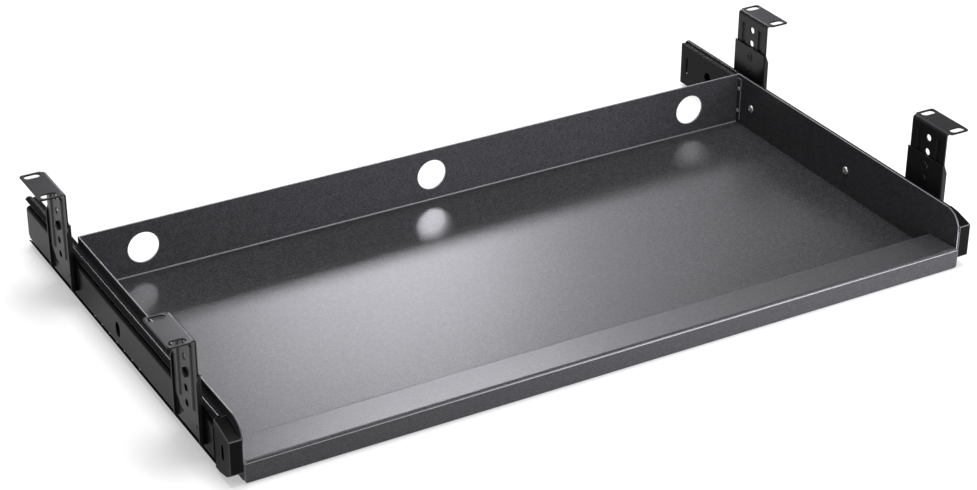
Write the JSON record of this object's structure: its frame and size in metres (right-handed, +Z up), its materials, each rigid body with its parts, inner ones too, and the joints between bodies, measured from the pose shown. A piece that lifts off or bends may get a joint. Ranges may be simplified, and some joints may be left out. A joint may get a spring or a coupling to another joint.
{
  "type": "keyboard_tray",
  "caption": "Folded steel keyboard tray that slides out from under a desk on ball slides and hangs from slotted, height-adjustable brackets",
  "frame": {"origin": "in the plane of the bracket flanges' tops, at the centre of the pattern of desk slots, tray pushed in", "axes": "+X to the user's right across the tray, +Y away from the user towards the rear wall, +Z up"},
  "size_m": [0.7432, 0.428, 0.1059],
  "materials": {
    "tray_powder_coat": "satin, finely textured",
    "slide_black": "satin",
    "bracket_black": "satin",
    "cap_plastic": "moulded, slightly rough",
    "zinc": "zinc plated",
    "ball_steel": "polished",
    "screw_black": "black oxide"
  },
  "bodies": {
    "desk_frame": {"front_left_upper_bracket": "bracket_black", "front_right_upper_bracket": "bracket_black", "rear_left_upper_bracket": "bracket_black", "rear_right_upper_bracket": "bracket_black", "front_left_lower_bracket": "bracket_black", "front_right_lower_bracket": "bracket_black", "rear_left_lower_bracket": "bracket_black", "rear_right_lower_bracket": "bracket_black", "bracket_rivets": "slide_black", "lock_screws": "screw_black", "left_fixed_rail": "slide_black", "right_fixed_rail": "slide_black"},
    "tray": {"tray_pan": "tray_powder_coat", "left_side_wall": "tray_powder_coat", "right_side_wall": "tray_powder_coat", "corner_rivets": "tray_powder_coat", "left_tray_rail": "slide_black", "right_tray_rail": "slide_black", "left_end_cap": "cap_plastic", "right_end_cap": "cap_plastic", "tray_screws": "zinc", "tray_screw_nuts": "zinc"},
    "left_cage": {"left_ball_cage": "zinc", "left_balls": "ball_steel"},
    "right_cage": {"right_ball_cage": "zinc", "right_balls": "ball_steel"}
  },
  "joints": [
    {"name": "tray_slide", "type": "slide", "parent": "desk_frame", "child": "tray", "axis": [0, -1, 0], "range_m": [0, 0.268]},
    {"name": "left_cage_slide", "type": "slide", "parent": "desk_frame", "child": "left_cage", "axis": [0, -1, 0], "range_m": [0, 0.134]},
    {"name": "right_cage_slide", "type": "slide", "parent": "desk_frame", "child": "right_cage", "axis": [0, -1, 0], "range_m": [0, 0.134]}
  ],
  "couplings": [
    {"joint": "left_cage_slide", "follows": "tray_slide", "ratio": 0.5},
    {"joint": "right_cage_slide", "follows": "tray_slide", "ratio": 0.5}
  ]
}
